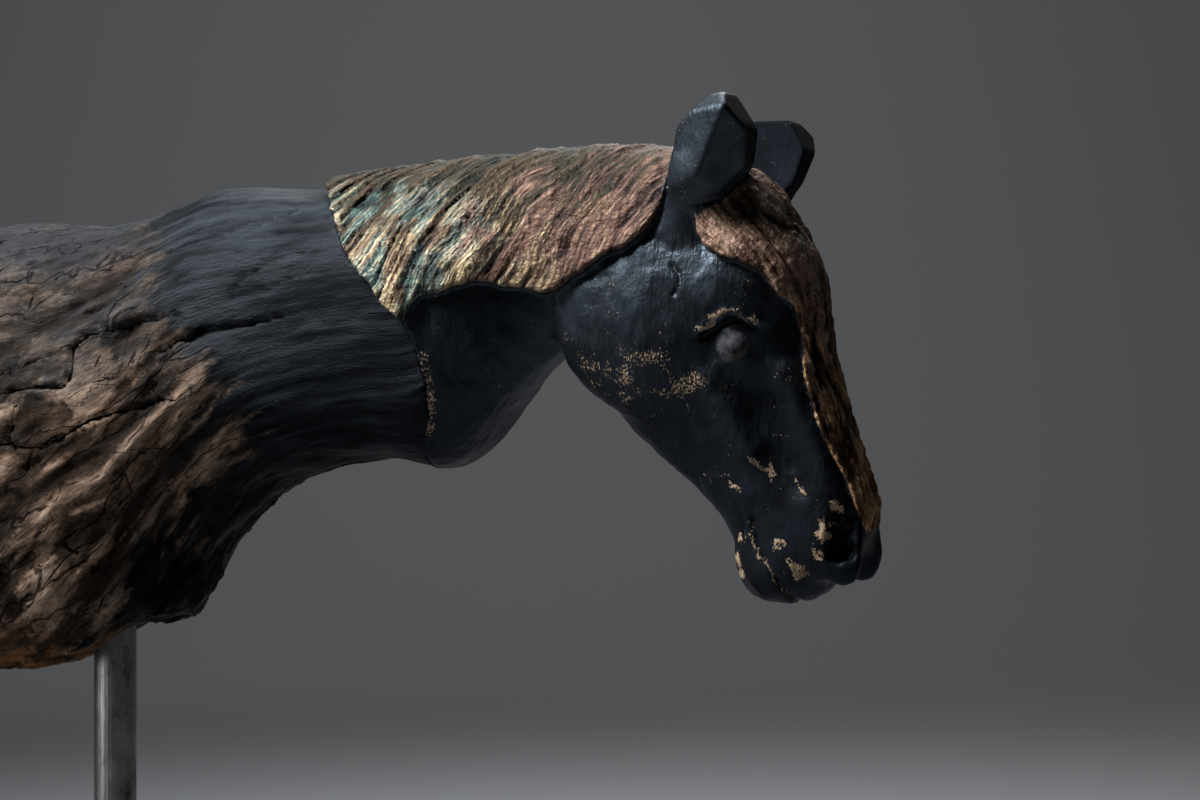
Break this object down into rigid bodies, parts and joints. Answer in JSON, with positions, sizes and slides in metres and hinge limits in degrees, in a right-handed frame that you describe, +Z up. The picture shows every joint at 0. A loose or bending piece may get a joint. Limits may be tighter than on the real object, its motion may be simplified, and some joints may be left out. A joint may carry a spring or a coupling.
{
  "type": "horse head sculpture on a stand",
  "caption": "Modelled horse head with carved mane on a weathered driftwood neck, held above a flat plate by an upright rod.",
  "frame": {"origin": "on the plate's underside, on the rod's axis", "axes": "+X the way the horse faces, +Y to the horse's left, +Z up along the rod"},
  "size_m": [0.3261, 0.11, 0.2383],
  "materials": {
    "driftwood": "bare weathered driftwood, stained black towards the head",
    "modelled_head": "matt black over modelled clay, with worn tan edges and a gilded mane",
    "rod_steel": "plain drawn rod with scuffs",
    "plate_steel": "blackened plate"
  },
  "bodies": {
    "root": {"driftwood_body": "driftwood", "horse_head": "modelled_head", "support_rod": "rod_steel", "base_plate": "plate_steel"}
  },
  "joints": []
}
